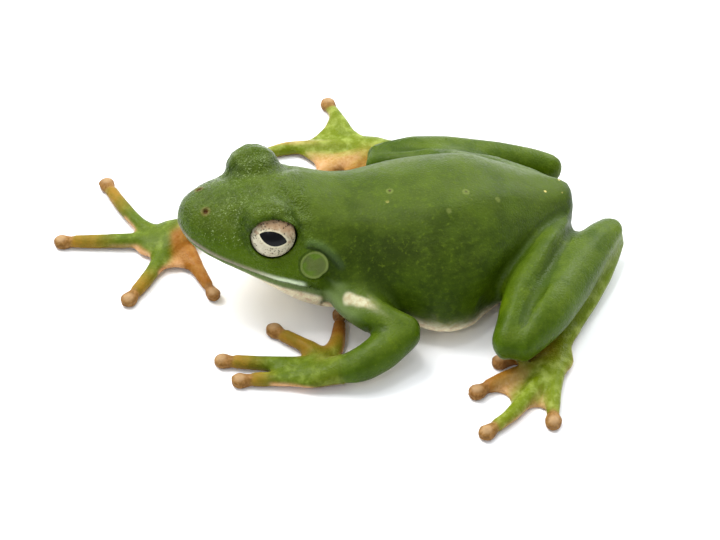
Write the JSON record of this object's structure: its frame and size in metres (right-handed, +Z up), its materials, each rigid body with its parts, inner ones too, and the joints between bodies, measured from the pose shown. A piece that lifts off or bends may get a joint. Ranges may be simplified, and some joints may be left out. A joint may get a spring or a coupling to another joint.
{
  "type": "tree frog",
  "caption": "Life-size green tree frog sitting flat with its head raised, limbs folded and toe pads spread; a still display model.",
  "frame": {"origin": "on the floor, under the middle of the frog's outline seen from above", "axes": "-Y is the way the frog faces, +X is its left side, +Z is up; the frog rests on the plane z = 0"},
  "size_m": [0.0684, 0.0724, 0.0184],
  "materials": {
    "skin_green": "moist, finely pitted green skin with a soft sheen",
    "limb_green": "moist brighter green skin with pale streaks",
    "digit_tan": "moist tan and orange skin of fingers, toes and pads",
    "throat_cream": "cream throat skin, finely granular",
    "eye_gold": "wet, glassy eye with a pale gold iris"
  },
  "bodies": {
    "root": {"eye_left": "eye_gold", "eye_right": "eye_gold", "finger_1_left": "digit_tan", "finger_1_right": "digit_tan", "finger_2_left": "digit_tan", "finger_2_right": "digit_tan", "finger_3_left": "digit_tan", "finger_3_right": "digit_tan", "finger_4_left": "digit_tan", "finger_4_right": "digit_tan", "foot_left": "limb_green", "foot_right": "limb_green", "forearm_left": "limb_green", "forearm_right": "limb_green", "hand_left": "limb_green", "hand_right": "limb_green", "head": "skin_green", "lower_jaw": "throat_cream", "shank_left": "limb_green", "shank_right": "limb_green", "tarsus_left": "limb_green", "tarsus_right": "limb_green", "thigh_left": "limb_green", "thigh_right": "limb_green", "toe_1_left": "digit_tan", "toe_1_right": "digit_tan", "toe_2_left": "digit_tan", "toe_2_right": "digit_tan", "toe_3_left": "digit_tan", "toe_3_right": "digit_tan", "toe_4_left": "digit_tan", "toe_4_right": "digit_tan", "toe_5_left": "digit_tan", "toe_5_right": "digit_tan", "trunk": "skin_green", "upper_arm_left": "limb_green", "upper_arm_right": "limb_green"}
  },
  "joints": []
}
